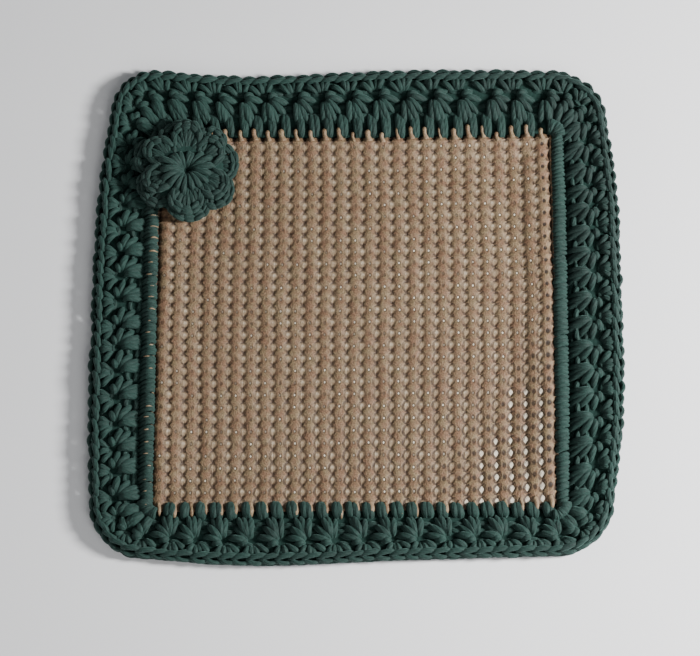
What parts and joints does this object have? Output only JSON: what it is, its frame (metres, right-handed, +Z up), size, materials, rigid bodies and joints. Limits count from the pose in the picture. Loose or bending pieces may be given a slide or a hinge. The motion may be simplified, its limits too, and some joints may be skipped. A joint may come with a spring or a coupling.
{
  "type": "jar gripper",
  "caption": "Flat square grip pad of ribbed non-slip mesh with a thick crocheted star-stitch border and a crocheted flower sewn over one corner.",
  "frame": {"origin": "middle of the outline, on the surface that the pad lies on", "axes": "+Z up from the surface, +X along the near edge to the right, +Y to the far edge, with the flower over the far left corner"},
  "size_m": [0.169, 0.1658, 0.0103],
  "materials": {
    "mesh_foam": "soft matte foam coat",
    "yarn": "smooth twisted yarn, slight sheen"
  },
  "bodies": {
    "root": {"mesh_panel": "mesh_foam", "crochet_border": "yarn", "crochet_flower": "yarn"}
  },
  "joints": []
}
